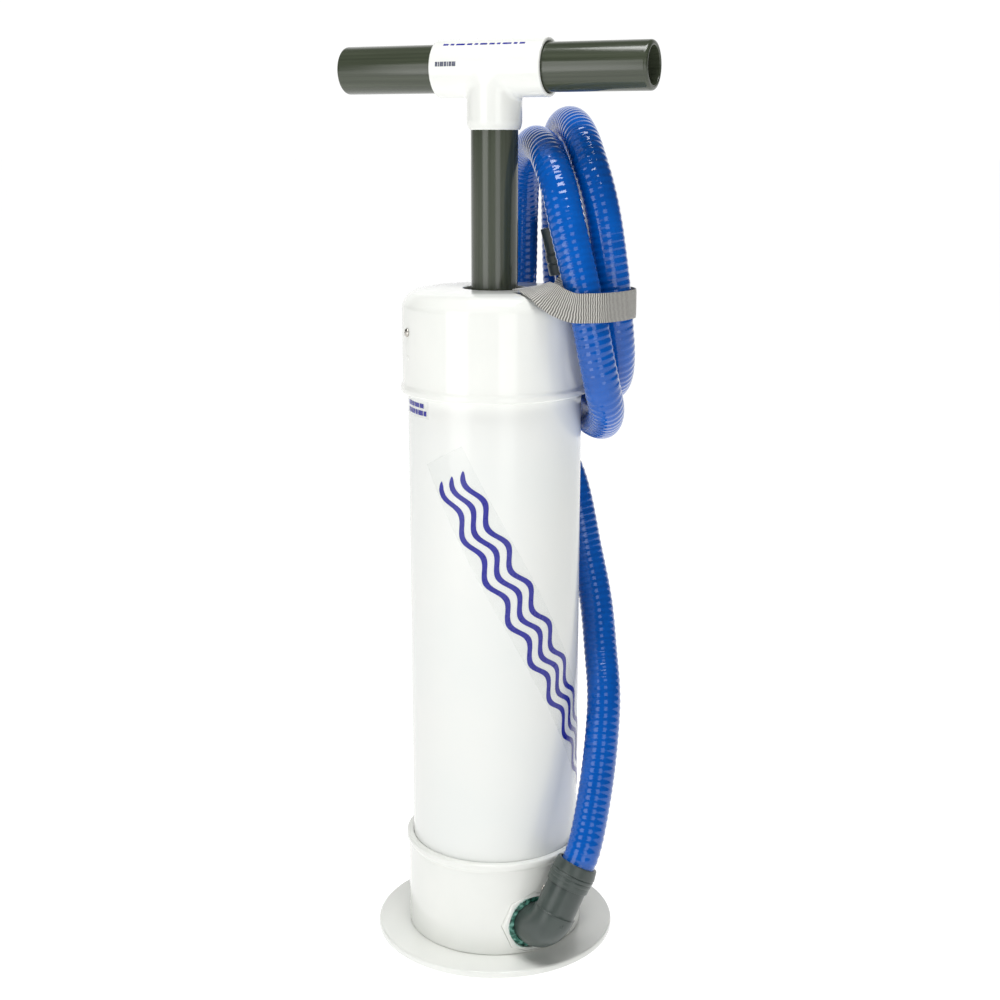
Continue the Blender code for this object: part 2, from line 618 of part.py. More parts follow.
def main():
    clear_scene()
    flange, cap, tube, top = base_flange(), base_cap(), cylinder_tube(), top_cap()
    flange_screws(flange, cap)
    wall_screws("base_cap_screw", (math.radians(33.7), math.radians(213.7)), 0.0688, cap, tube)
    wall_screws("top_cap_screw", (math.radians(-66.9), math.radians(113.1)), 0.5905, top, tube)
    outlet(cap, tube)
    hose()
    strap(top)
    bottom_bumper()
    rod()
    handle()
    piston()
    inlet_valve()


main()
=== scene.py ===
"""Looks for the hand bilge pump: finely made pieces and procedural materials on the CAD frame.

Everything is in metres in the frame's own space. The pump stands on z = 0 and its front faces -Y."""

import math

import bmesh
import bpy
import numpy as np
from mathutils import Matrix, Vector, noise

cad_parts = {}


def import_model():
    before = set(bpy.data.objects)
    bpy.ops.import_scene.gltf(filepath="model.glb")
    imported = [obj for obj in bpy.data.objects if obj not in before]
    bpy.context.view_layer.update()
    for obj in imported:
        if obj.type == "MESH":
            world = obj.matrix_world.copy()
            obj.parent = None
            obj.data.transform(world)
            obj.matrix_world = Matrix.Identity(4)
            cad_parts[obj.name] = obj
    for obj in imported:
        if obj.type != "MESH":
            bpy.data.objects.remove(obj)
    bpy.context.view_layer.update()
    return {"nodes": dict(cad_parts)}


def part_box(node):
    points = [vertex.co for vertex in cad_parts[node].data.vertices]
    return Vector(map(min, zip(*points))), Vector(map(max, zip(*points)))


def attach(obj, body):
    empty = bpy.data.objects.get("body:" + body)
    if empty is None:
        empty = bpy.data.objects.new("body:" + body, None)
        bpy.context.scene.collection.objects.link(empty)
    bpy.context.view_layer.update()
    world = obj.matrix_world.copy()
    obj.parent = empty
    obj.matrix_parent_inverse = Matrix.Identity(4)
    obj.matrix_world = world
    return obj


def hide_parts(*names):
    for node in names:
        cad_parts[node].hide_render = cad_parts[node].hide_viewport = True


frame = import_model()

# Sizes that the frame gives
FLANGE_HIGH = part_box("base_flange")[1]
BASE_LOW, BASE_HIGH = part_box("base_cap")
TUBE_LOW, TUBE_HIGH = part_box("cylinder_tube")
TOP_LOW, TOP_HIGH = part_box("top_cap")
ROD_LOW, ROD_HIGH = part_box("pump_rod")
TEE_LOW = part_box("handle_tee")[0]
BEAD_R = TOP_HIGH.x
CAP_R = BEAD_R - 0.0018
TUBE_R = TUBE_HIGH.x
PIPE_R = ROD_HIGH.x

# Sizes of its own, the same as the CAD's
CAP_PLAY = 0.0004
TUBE_BORE = 0.0751
PIPE_BORE = 0.01625
TOP_CAP_FLAT_R = 0.062
TOP_CAP_SHOULDER = 0.614
ROD_HOLE_R = 0.029
TEE_R = 0.0253
TEE_HALF = 0.0527
TEE_STEM_R = 0.0247
TEE_WAIST_R = 0.0175
HANDLE_Z = 0.8195
HANDLE_YAW = math.radians(-24.3)
GRIP_INNER = 0.018
GRIP_OUTER = 0.148
PORT_AZIMUTH = math.radians(26)
PORT_Z = 0.0365
PORT_CORNER = 0.107
HEAD_FLATS = 0.058
HEAD_TURN = math.pi / 8
HEAD_LOW_SIDE = -0.028
HEAD_BACK = 0.0762
HEAD_FACE = 0.084
MOUTH_R = 0.0258
SPIGOT_SEAT_R = 0.0203
ELBOW_TILT = math.radians(28)
ELBOW_LEG = 0.058
CUFF_LOW = 0.049
CUFF_HIGH = 0.0725
HOSE_STRAIGHT = 0.084
HOSE_R = 0.0162
HOSE_BORE = 0.0132
RIB_PITCH = 0.0064
RIB_DEPTH = 0.00045
STRAP_WIDTH = 0.0254
STRAP_T = 0.0015
WEAVE_PITCH = 0.0020
WAVES = 8

# Where the hose runs, in millimetres
RISER = ((91, -62, 142), (99, -41, 186), (104, -16, 237), (102, 10, 278), (98, 32, 322), (89, 50, 367),
         (74, 68, 435), (49, 92, 484), (32, 108, 526), (23, 115, 575), (25, 118, 634), (26, 114, 696))
FIRST_LOOP_TOP = ((28, 92, 737), (36, 56, 754), (44, 18, 751), (50, -12, 738))
FIRST_STRAND = ((57, -35, 715), (63, -49, 687), (70.5, -58, 656), (77, -65, 629), (83, -69, 603),
                (88.5, -70, 575), (95, -65, 545))
FIRST_LOOP_BOTTOM = ((100, -46, 524), (100, -16, 508), (96, 16, 502), (90, 50, 502), (83, 86, 512))
SECOND_RISE = ((75, 120, 536), (68, 141, 572), (64, 150, 621), (62, 150, 680), (61, 140, 734))
SECOND_LOOP_TOP = ((62, 116, 760), (66, 84, 771), (72, 48, 771), (78, 14, 759), (84.5, -12, 737))
SECOND_STRAND = ((91, -25, 713), (96, -32, 689), (100, -36, 663), (104, -38, 633), (107, -38, 602),
                 (110, -29, 572))
SECOND_LOOP_BOTTOM = ((110.5, -8, 549.5), (107.5, 20, 536.5), (101, 52, 534), (93, 82, 546))
FREE_END = ((86, 101, 573), (79, 109, 610), (73, 111, 634), (66, 112, 664))

# The strap's centre line in millimetres, each with the direction of the band's upper edge
UP = (0, 0, 1)
STRAP_PATH = (
    ((27, -44, 631.1), (0.12, 1, -0.04)), ((32.6, -55, 632.3), (0.25, 0.93, 0.05)),
    ((39.2, -68.5, 632), (0.24, 0.85, 0.44)), ((46.6, -78.5, 627.6), (0.12, 0.55, 0.83)),
    ((56, -85.5, 622.2), (0.03, 0.2, 0.97)), ((68, -88.8, 618.3), UP), ((82, -88, 618), UP),
    ((94, -85, 618), UP), ((108, -69, 617.5), UP), ((119, -54, 617.5), UP), ((124.8, -39, 617.5), UP),
    ((121.5, -26, 618), UP), ((111, -18.5, 619), UP), ((97, -16.5, 624), (0, 0.2, 1)),
    ((82, -18, 632.5), (0, 0.5, 0.87)), ((66, -25, 636), (0.1, 0.86, 0.5)),
    ((52, -30, 630.2), (0.1, 0.99, 0.1)), ((36, -35, 628.8), (0.1, 1, 0)), ((23, -39, 628.8), (0.1, 1, 0)))


def metres(places):
    """Vectors from places in millimetres."""
    return [Vector(place) / 1000 for place in places]


# Mesh helpers
def grid_faces(rows, columns, start=0, flip=False):
    """Quads of a grid of vertices that closes on itself across its columns."""
    row, column = np.meshgrid(np.arange(rows - 1), np.arange(columns), indexing="ij")
    here = row * columns + column
    beside = row * columns + (column + 1) % columns
    quads = np.stack([here, beside, beside + columns, here + columns], -1).reshape(-1, 4) + start
    return (quads[:, ::-1] if flip else quads).tolist()


def finished(mesh, sharp=40):
    """Smooth shading, broken where faces meet at more than sharp degrees."""
    shape = bmesh.new()
    shape.from_mesh(mesh)
    bmesh.ops.recalc_face_normals(shape, faces=shape.faces)
    shape.to_mesh(mesh)
    shape.free()
    mesh.shade_smooth()
    mesh.set_sharp_from_angle(angle=math.radians(sharp))
    return mesh


def add_piece(name, mesh, paint, body, replaced=(), matrix=None):
    """Puts a mesh in the scene on a body, in the place of the CAD nodes it replaces."""
    piece = bpy.data.objects.new(name, mesh)
    bpy.context.scene.collection.objects.link(piece)
    mesh.materials.clear()
    mesh.materials.append(paint)
    if matrix:
        piece.matrix_world = matrix
    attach(piece, body)
    if replaced:
        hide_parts(*replaced)


def rounded(corners, steps=5):
    """Points of an outline of (radius, height, reach) corners. Rounding starts reach from a corner."""
    points = []
    for i, corner in enumerate(corners):
        here = Vector(corner[:2])
        reach = corner[2] if len(corner) > 2 else 0
        if not reach:
            points.append(tuple(here))
            continue
        before, after = Vector(corners[i - 1][:2]), Vector(corners[(i + 1) % len(corners)][:2])
        start = here + (before - here).normalized() * reach
        stop = here + (after - here).normalized() * reach
        for k in range(steps + 1):
            t = k / steps
            points.append(tuple(start * (1 - t) ** 2 + here * 2 * t * (1 - t) + stop * t * t))
    return points


def lathe(corners, sides, closed=True, steps=5):
    """A rounded outline turned about Z."""
    shape = bmesh.new()
    rings = []
    for radius, height in rounded(corners, steps):
        if radius < 1e-7:
            rings.append([shape.verts.new((0, 0, height))] * sides)
            continue
        angles = [2 * math.pi * k / sides for k in range(sides)]
        rings.append([shape.verts.new((radius * math.cos(a), radius * math.sin(a), height)) for a in angles])
    for first, second in zip(rings, rings[1:] + rings[:1] if closed else rings[1:]):
        for k in range(sides):
            loop = list(dict.fromkeys((first[k - 1], first[k], second[k], second[k - 1])))
            if len(loop) > 2:
                shape.faces.new(loop)
    mesh = bpy.data.meshes.new("lathe")
    shape.to_mesh(mesh)
    shape.free()
    return finished(mesh)


def prism(sides, across_flats, low, high, edge, turn):
    """A regular prism about Z, its edges rounded by edge if that isn't 0."""
    shape = bmesh.new()
    radius = across_flats / 2 / math.cos(math.pi / sides)
    bmesh.ops.create_cone(shape, cap_ends=True, segments=sides, radius1=radius, radius2=radius,
                          depth=high - low)
    if edge:
        bmesh.ops.bevel(shape, geom=shape.edges, offset=edge, segments=3, affect="EDGES", profile=0.5)
    spin = Matrix.Rotation(math.pi / sides + turn, 4, "Z")
    shift = Matrix.Translation((0, 0, (low + high) / 2))
    bmesh.ops.transform(shape, matrix=shift @ spin, verts=shape.verts)
    mesh = bpy.data.meshes.new("prism")
    shape.to_mesh(mesh)
    shape.free()
    return mesh


def block(low, high):
    """A box-shaped cutting tool."""
    low, high = Vector(low), Vector(high)
    shape = bmesh.new()
    bmesh.ops.create_cube(shape, size=1)
    scale = Matrix.Diagonal((*(high - low), 1))
    bmesh.ops.transform(shape, matrix=Matrix.Translation((low + high) / 2) @ scale, verts=shape.verts)
    mesh = bpy.data.meshes.new("block")
    shape.to_mesh(mesh)
    shape.free()
    return mesh


def combined(mesh, *others, operation="DIFFERENCE", matrix=None):
    """What is left of a mesh after a Boolean with each of the others, which matrix puts in place."""
    target = bpy.data.objects.new("target", mesh)
    bpy.context.scene.collection.objects.link(target)
    tools = []
    for other in others:
        tool = bpy.data.objects.new("tool", other)
        bpy.context.scene.collection.objects.link(tool)
        tool.matrix_world = matrix or Matrix.Identity(4)
        modifier = target.modifiers.new("Boolean", "BOOLEAN")
        modifier.solver = "EXACT"
        modifier.operation = operation
        modifier.object = tool
        tools.append(tool)
    graph = bpy.context.evaluated_depsgraph_get()
    result = bpy.data.meshes.new_from_object(target.evaluated_get(graph))
    for obj in [target] + tools:
        bpy.data.objects.remove(obj)
    return finished(result)


def catmull_rom(points, counts):
    """A smooth curve through vectors, with counts[i] samples in stretch i."""
    ends = [2 * points[0] - points[1]] + list(points) + [2 * points[-1] - points[-2]]
    samples = []
    for before, start, stop, after, count in zip(ends, ends[1:], ends[2:], ends[3:], counts):
        for k in range(count):
            t = k / count
            samples.append(0.5 * (2 * start + (stop - before) * t
                                  + (2 * before - 5 * start + 4 * stop - after) * t * t
                                  + (3 * start - before - 3 * stop + after) * t ** 3))
    samples.append(points[-1])
    return np.array([tuple(sample) for sample in samples])


def lengths_along(path):
    return np.concatenate([[0], np.cumsum(np.linalg.norm(np.diff(path, axis=0), axis=1))])


def even_path(path, step):
    """The same path with its points step apart."""
    along = lengths_along(path)
    wanted = np.linspace(0, along[-1], max(2, round(along[-1] / step) + 1))
    return np.stack([np.interp(wanted, along, path[:, axis]) for axis in range(path.shape[1])], 1)


def unit(vectors):
    return vectors / np.linalg.norm(vectors, axis=-1, keepdims=True)


def carried_frames(path):
    """For each point of a path two directions across it, carried along without a twist."""
    ahead = unit(np.gradient(path, axis=0))
    side = np.cross(ahead[0], (0.3, 0.2, 1.0))
    sides = []
    for direction in ahead:
        side = side - direction * side.dot(direction)
        side = side / np.linalg.norm(side)
        sides.append(side)
    sides = np.array(sides)
    return sides, np.cross(ahead, sides)


def swept(path, radii, sides):
    """Vertices of rings round a path. radii is one number, one per ring, or one per vertex."""
    angles = np.linspace(0, 2 * math.pi, sides, endpoint=False)
    across, up = carried_frames(path)
    radii = np.broadcast_to(np.reshape(radii, (-1, 1)) if np.ndim(radii) < 2 else radii, (len(path), sides))
    rim = across[:, None] * np.cos(angles)[None, :, None] + up[:, None] * np.sin(angles)[None, :, None]
    return (path[:, None] + rim * radii[:, :, None]).reshape(-1, 3)


def pipe_mesh(outer_path, outer_radii, inner_path, inner_radii, sides):
    """A pipe with open ends. Both paths start and end at the same points."""
    outer = swept(outer_path, outer_radii, sides)
    inner = swept(inner_path, inner_radii, sides)
    count = len(outer_path) * sides
    faces = grid_faces(len(outer_path), sides) + grid_faces(len(inner_path), sides, count, True)
    last_outer, last_inner = count - sides, count + (len(inner_path) - 1) * sides
    for k in range(sides):
        beside = (k + 1) % sides
        faces.append((k, count + k, count + beside, beside))
        faces.append((last_outer + k, last_outer + beside, last_inner + beside, last_inner + k))
    mesh = bpy.data.meshes.new("pipe")
    mesh.from_pydata(np.concatenate([outer, inner]).tolist(), [], faces)
    return finished(mesh, 50)


def roughened(mesh, amount, scale, chosen):
    """Moves vertices along their normals by noise, where chosen(place) is true."""
    normals = [vertex.normal.copy() for vertex in mesh.vertices]
    for vertex, normal in zip(mesh.vertices, normals):
        if chosen(vertex.co):
            vertex.co += normal * amount * noise.noise(vertex.co * scale)
    mesh.update()
    return mesh


# Places
def radial_frame(azimuth, height):
    """Local +Z points out of the barrel and local +Y points up."""
    return Matrix.Translation((0, 0, height)) @ Matrix.Rotation(azimuth, 4, "Z") @ Matrix.Rotation(
        math.pi / 2, 4, "X")


PORT = radial_frame(PORT_AZIMUTH, PORT_Z)
TEE_PLACE = Matrix.Translation((0, 0, HANDLE_Z)) @ Matrix.Rotation(HANDLE_YAW, 4, "Z")
HANDLE = TEE_PLACE @ Matrix.Rotation(math.pi / 2, 4, "Y")


def leg_point(distance):
    """A point on the elbow's upper leg, in the port's frame."""
    return Vector((math.sin(ELBOW_TILT), math.cos(ELBOW_TILT), 0)) * distance + Vector((0, 0, PORT_CORNER))


def along_axis(start, direction):
    """A frame at start whose +Z runs in a direction."""
    return Matrix.Translation(start) @ direction.to_track_quat("Z", "Y").to_matrix().to_4x4()


# Materials
class Paint:
    """A Principled material whose colour, roughness and bump come from nodes."""

    def __init__(self, name, **constants):
        self.material = bpy.data.materials.new(name)
        self.material.use_nodes = True
        self.tree = self.material.node_tree
        self.shader = self.tree.nodes["Principled BSDF"]
        for socket, value in constants.items():
            self.shader.inputs[socket.replace("_", " ")].default_value = value
        self.place = self.add("ShaderNodeTexCoord").outputs["Object"]

    def add(self, kind, **inputs):
        node = self.tree.nodes.new(kind)
        for socket, value in inputs.items():
            node.inputs[socket.replace("_", " ")].default_value = value
        return node

    def link(self, source, target):
        self.tree.links.new(source, target)

    def noise(self, scale, detail=3.0, stretch=(1, 1, 1)):
        mapping = self.add("ShaderNodeMapping", Scale=stretch)
        self.link(self.place, mapping.inputs["Vector"])
        texture = self.add("ShaderNodeTexNoise", Scale=scale, Detail=detail)
        self.link(mapping.outputs["Vector"], texture.inputs["Vector"])
        return texture.outputs["Fac"]

    def between(self, source, low, high):
        """The middle of a noise's range spread over low to high."""
        node = self.add("ShaderNodeMapRange", From_Min=0.3, From_Max=0.7, To_Min=low, To_Max=high)
        self.link(source, node.inputs["Value"])
        return node.outputs["Result"]

    def ramp(self, source, *stops):
        node = self.add("ShaderNodeValToRGB")
        elements = node.color_ramp.elements
        while len(elements) < len(stops):
            elements.new(0.5)
        for element, (position, colour) in zip(elements, stops):
            element.position = position
            element.color = (*colour, 1)
        self.link(source, node.inputs["Fac"])
        return node.outputs["Color"]

    def colour(self, source, *stops):
        self.link(self.ramp(source, *stops), self.shader.inputs["Base Color"])
        return self

    def rough(self, source, low, high):
        self.link(self.between(source, low, high), self.shader.inputs["Roughness"])
        return self

    def bump(self, source, distance, strength=1.0):
        node = self.add("ShaderNodeBump", Distance=distance, Strength=strength)
        self.link(source, node.inputs["Height"])
        socket = self.shader.inputs["Normal"]
        if socket.is_linked:
            self.link(socket.links[0].from_socket, node.inputs["Normal"])
        self.link(node.outputs["Normal"], socket)
        return self


def shade(red, green, blue):
    """A linear colour from 0 to 255 display values."""
    return tuple(((c / 255 + 0.055) / 1.055) ** 2.4 if c > 10 else c / 3295 for c in (red, green, blue))


def extruded_white():
    paint = Paint("white_extruded_plastic", IOR=1.52)
    drawn = paint.noise(260, 4, (1, 1, 0.015))
    cloud = paint.noise(9, 3)
    paint.colour(cloud, (0.3, shade(233, 236, 233)), (0.7, shade(238, 239, 235)))
    return paint.rough(cloud, 0.16, 0.24).bump(drawn, 0.00003, 0.5).material


def moulded_white():
    paint = Paint("white_moulded_plastic", IOR=1.52)
    cloud = paint.noise(14, 4)
    skin = paint.noise(420, 2)
    paint.colour(cloud, (0.3, shade(235, 237, 232)), (0.7, shade(241, 242, 237)))
    return paint.rough(cloud, 0.07, 0.13).bump(skin, 0.00001, 0.3).material


def cast_white():
    paint = Paint("white_inner_plastic", IOR=1.5)
    cloud = paint.noise(30, 4)
    paint.colour(cloud, (0.3, shade(214, 215, 208)), (0.7, shade(232, 232, 226)))
    return paint.rough(cloud, 0.3, 0.45).bump(paint.noise(500, 3), 0.00004, 0.5).material


def grey_pipe():
    paint = Paint("grey_pipe_plastic", IOR=1.53)
    drawn = paint.noise(420, 4, (1, 1, 0.012))
    scuffs = paint.noise(60, 5, (1, 1, 0.25))
    paint.colour(drawn, (0.3, shade(56, 62, 49)), (0.5, shade(63, 69, 55)), (0.72, shade(71, 77, 63)))
    return paint.rough(scuffs, 0.14, 0.2).bump(drawn, 0.000006, 0.5).material


def grey_fitting():
    paint = Paint("grey_moulded_plastic", IOR=1.5)
    cloud = paint.noise(45, 4)
    skin = paint.noise(900, 3)
    paint.colour(cloud, (0.3, shade(60, 69, 66)), (0.7, shade(71, 80, 76)))
    return paint.rough(cloud, 0.28, 0.4).bump(skin, 0.00003, 0.6).material


def hose_blue():
    paint = Paint("blue_hose_plastic", Specular_IOR_Level=0.08, Coat_Weight=0.9, Coat_Roughness=0.025)
    cloud = paint.noise(40, 3)
    paint.colour(cloud, (0.3, shade(0, 80, 168)), (0.7, shade(0, 90, 184)))
    return paint.rough(cloud, 0.16, 0.26).bump(paint.noise(260, 3), 0.00004, 0.4).material


def webbing():
    paint = Paint("grey_webbing", Sheen_Weight=0.25, Sheen_Roughness=0.4, IOR=1.5)
    yarn = paint.noise(2200, 3)
    cloud = paint.noise(160, 3)
    # Painted light: the rib crests are painted lighter as a highlight and the grooves between them darker as
    # shade, with a random yarn tone added.
    rib_highlight_and_shade = paint.add("ShaderNodeAttribute")
    rib_highlight_and_shade.attribute_name = "rib_highlight_and_shade"
    rib_light_and_yarn_tone = paint.add("ShaderNodeMath")
    rib_light_and_yarn_tone.operation = "MULTIPLY_ADD"
    rib_light_and_yarn_tone.inputs[1].default_value = 0.75
    paint.link(rib_highlight_and_shade.outputs["Fac"], rib_light_and_yarn_tone.inputs[0])
    paint.link(paint.between(yarn, 0.0, 0.25), rib_light_and_yarn_tone.inputs[2])
    paint.colour(rib_light_and_yarn_tone.outputs[0], (0.1, shade(62, 61, 57)), (0.5, shade(142, 140, 134)),
                 (0.9, shade(214, 212, 206)))
    return paint.rough(cloud, 0.38, 0.55).bump(yarn, 0.00010, 0.7).material


def compound():
    paint = Paint("teal_sealing_compound", IOR=1.5)
    cloud = paint.noise(240, 4)
    paint.colour(cloud, (0.34, shade(18, 54, 44)), (0.48, shade(38, 104, 88)), (0.62, shade(108, 172, 156)),
                 (0.74, shade(176, 214, 202)))
    return paint.rough(cloud, 0.25, 0.5).bump(paint.noise(700, 3), 0.0003, 0.7).material


def compound_smear():
    paint = Paint("pale_teal_compound", IOR=1.5)
    cloud = paint.noise(900, 4)
    paint.colour(cloud, (0.36, shade(96, 158, 142)), (0.5, shade(172, 206, 196)),
                 (0.62, shade(226, 236, 230)))
    return paint.rough(cloud, 0.25, 0.5).bump(paint.noise(1500, 3), 0.0002, 0.6).material


def rubber():
    paint = Paint("black_rubber_skin", IOR=1.5)
    cloud = paint.noise(80, 4)
    paint.colour(cloud, (0.3, shade(24, 24, 25)), (0.7, shade(38, 38, 39)))
    return paint.rough(cloud, 0.5, 0.7).bump(paint.noise(1500, 2), 0.00004, 0.6).material


def steel():
    paint = Paint("stainless_steel", Metallic=1.0)
    turned = paint.noise(900, 4, (1, 1, 0.1))
    cloud = paint.noise(200, 3)
    paint.colour(cloud, (0.3, shade(176, 172, 164)), (0.7, shade(206, 203, 196)))
    return paint.rough(cloud, 0.18, 0.34).bump(turned, 0.00003, 0.6).material


def clear_film():
    paint = Paint("clear_decal_film", IOR=1.46, Alpha=0.12)
    cloud = paint.noise(60, 3)
    paint.colour(cloud, (0.3, shade(224, 229, 228)), (0.7, shade(236, 239, 238)))
    return paint.rough(cloud, 0.10, 0.2).bump(paint.noise(90, 3), 0.00004, 0.4).material


def blue_ink():
    paint = Paint("blue_decal_ink", IOR=1.46)
    cloud = paint.noise(120, 4)
    paint.colour(cloud, (0.3, shade(36, 36, 140)), (0.7, shade(41, 42, 152)))
    return paint.rough(cloud, 0.22, 0.34).bump(paint.noise(300, 3), 0.00003, 0.4).material


def black_ink():
    paint = Paint("black_marking_ink", IOR=1.46)
    cloud = paint.noise(1500, 3)
    paint.colour(cloud, (0.35, shade(40, 44, 66)), (0.65, shade(120, 124, 140)))
    return paint.rough(cloud, 0.3, 0.5).material


PAINTS = {make.__name__: make() for make in (
    extruded_white, moulded_white, cast_white, grey_pipe, grey_fitting, hose_blue, webbing, compound,
    compound_smear, rubber, steel, clear_film, blue_ink, black_ink)}


# Barrel
def base_flange():
    top = FLANGE_HIGH.z
    corners = [(0, top), (FLANGE_HIGH.x, top, 0.0022), (FLANGE_HIGH.x, 0, 0.0012), (0, 0)]
    mesh = roughened(lathe(corners, 256, False), 0.0003, 30,
                     lambda place: place.xy.length > 0.11 and place.z > 0.0005)
    add_piece("foot_flange", mesh, PAINTS["moulded_white"], "pump_body", ["base_flange"])


def base_cap():
    low, high, bore = BASE_LOW.z, BASE_HIGH.z, TUBE_R + CAP_PLAY
    inside, window_play = low + 0.005, 0.0003
    corners = [(0, inside), (bore, inside), (bore, high), (BEAD_R, high, 0.0022),
               (BEAD_R, high - 0.0058, 0.0015), (CAP_R, high - 0.0078, 0.0015), (CAP_R, low, 0.0012),
               (0, low)]
    sill = block((-0.04, -0.05, 0.07), (0.04, HEAD_LOW_SIDE - window_play, 0.12))
    octagon = prism(8, HEAD_FLATS + 2 * window_play, HEAD_BACK - window_play, 0.11, 0, HEAD_TURN)
    window = combined(octagon, sill)
    mesh = combined(lathe(corners, 256, False), window, matrix=PORT)
    add_piece("foot_cap", mesh, PAINTS["moulded_white"], "pump_body", ["base_cap"])


def barrel():
    corners = [(TUBE_R, TUBE_HIGH.z), (TUBE_R, TUBE_LOW.z), (TUBE_BORE, TUBE_LOW.z), (TUBE_BORE, TUBE_HIGH.z)]
    hole = lathe([(0, 0.12), (0.0238, 0.12), (0.0238, 0.05), (0, 0.05)], 64, False)
    mesh = combined(lathe(corners, 256), hole, matrix=PORT)
    add_piece("barrel_tube", mesh, PAINTS["extruded_white"], "pump_body", ["cylinder_tube"])


def top_cap():
    top, lip, bore, wall = TOP_HIGH.z, TOP_LOW.z, TUBE_R + CAP_PLAY, 0.0056
    corners = [(TOP_CAP_FLAT_R, top, 0.004), (0.0768, top - 0.0024, 0.006), (CAP_R, TOP_CAP_SHOULDER, 0.004),
               (CAP_R, lip + 0.0078, 0.0015), (BEAD_R, lip + 0.0058, 0.0015), (BEAD_R, lip, 0.0022),
               (bore, lip, 0.0006), (bore, TOP_CAP_SHOULDER - 0.004, 0.004),
               (0.071, top - wall - 0.002, 0.004), (ROD_HOLE_R, top - wall), (ROD_HOLE_R, top, 0.0012)]
    add_piece("head_cap", lathe(corners, 256), PAINTS["moulded_white"], "pump_body",
              ["top_cap"])
    nub = lathe([(0, 0.0004), (0.0022, 0.0004, 0.0003), (0.0028, -0.0006), (0, -0.0006)], 32, False)
    frame_at = radial_frame(math.radians(-67), TOP_CAP_SHOULDER - 0.046) @ Matrix.Translation((0, 0, CAP_R))
    add_piece("head_cap_gate_mark", nub, PAINTS["moulded_white"], "pump_body", (), frame_at)


# Screws
def screw_mesh(head_r, head_t, shank_r, shank_length):
    """A pan-head screw with a cross recess, its seat at z = 0."""
    corners = [(0, head_t), (head_r * 0.62, head_t - 0.0001, 0.0008), (head_r, head_t * 0.45, 0.0006),
               (head_r, 0), (shank_r, 0), (shank_r, -shank_length), (0, -shank_length)]
    arms = []
    for turn in (0, math.pi / 2):
        arm = bmesh.new()
        bmesh.ops.create_cone(arm, cap_ends=True, segments=4, radius1=0.0002, radius2=head_r * 0.72,
                              depth=head_t * 1.7)
        squeeze = Matrix.Diagonal((1, 0.3, 1, 1))
        lift = Matrix.Translation((0, 0, head_t))
        bmesh.ops.transform(arm, matrix=Matrix.Rotation(turn, 4, "Z") @ lift @ squeeze, verts=arm.verts)
        mesh = bpy.data.meshes.new("arm")
        arm.to_mesh(mesh)
        arm.free()
        arms.append(mesh)
    return combined(lathe(corners, 40, False), *arms)


def screws():
    seat = Matrix.Translation((0, 0, CAP_R + 0.0003))
    places = {
        "base_cap_screw_1": (33.7, 0.0688), "base_cap_screw_2": (213.7, 0.0688),
        "top_cap_screw_1": (-66.9, 0.5905), "top_cap_screw_2": (113.1, 0.5905)}
    for node, (azimuth, height) in places.items():
        turn = Matrix.Rotation(math.radians(azimuth), 4, "Z")
        add_piece(node.replace("_screw", "_pan_screw"), screw_mesh(0.0039, 0.0022, 0.0019, 0.0085),
                  PAINTS["steel"], "pump_body", [node],
                  radial_frame(math.radians(azimuth), height) @ seat @ turn)
    low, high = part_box("strap_screw")
    centre = (low + high) / 2
    frame_at = Matrix.Translation((centre.x, centre.y, high.z - 0.0021))
    add_piece("strap_pan_screw", screw_mesh(0.0037, 0.0021, 0.0019, 0.012), PAINTS["steel"], "pump_body",
              ["strap_screw"], frame_at)


# Outlet
def bushing():
    head = prism(8, HEAD_FLATS, HEAD_BACK, HEAD_FACE, 0.0009, HEAD_TURN)
    head = combined(head, block((-0.04, -0.05, 0.07), (0.04, HEAD_LOW_SIDE, 0.1)))
    body = lathe([(0, 0.0775), (0.0235, 0.0775), (0.0235, 0.062, 0.0005), (0, 0.062)], 64, False)
    mesh = combined(head, body, operation="UNION")
    bore = [(0, 0.1), (0.0273, 0.1), (MOUTH_R, HEAD_FACE - 0.0004, 0.0004), (MOUTH_R, 0.0803),
            (SPIGOT_SEAT_R, 0.0803), (SPIGOT_SEAT_R, 0.0723), (0.018, 0.0723), (0.018, 0.065),
            (0.0125, 0.065), (0.0125, 0.0682),
            (0.0105, 0.0682), (0.0105, 0.05), (0, 0.05)]
    mesh = combined(mesh, lathe(bore, 96, False))
    add_piece("outlet_bushing_head", mesh, PAINTS["moulded_white"], "pump_body",
              ["outlet_bushing"], PORT)


def sealing_ring():
    """Compound pressed out round the elbow's spigot, uneven all the way round, and its smears."""
    corners = [(SPIGOT_SEAT_R, 0.0842, 0.0008), (0.0228, 0.0838, 0.0008), (0.0255, 0.0822, 0.0008),
               (0.0255, 0.0806), (SPIGOT_SEAT_R, 0.0806)]
    mesh = lathe(corners, 160, True, 4)
    for vertex in mesh.vertices:
        if vertex.co.z > 0.0812:
            swell = noise.noise(vertex.co * 260) + 0.5 * noise.noise(vertex.co * 700)
            side = math.atan2(vertex.co.y, vertex.co.x)
            lean = 0.5 - 0.5 * math.cos(side - math.radians(-20))
            vertex.co.z += 0.0011 * swell - 0.0010 * (1 - lean) - 0.0012 * lean ** 6
    add_piece("sealing_compound_ring", mesh, PAINTS["compound"], "pump_body",
              ["sealing_ring"], PORT)
    smears = (100, 150, 0.0017), (168, 200, 0.0012), (216, 246, 0.0016)
    for number, (start, stop, width) in enumerate(smears, 1):
        add_piece(f"compound_smear_{number}", smear(start, stop, width), PAINTS["compound_smear"],
                  "pump_body", (), PORT)


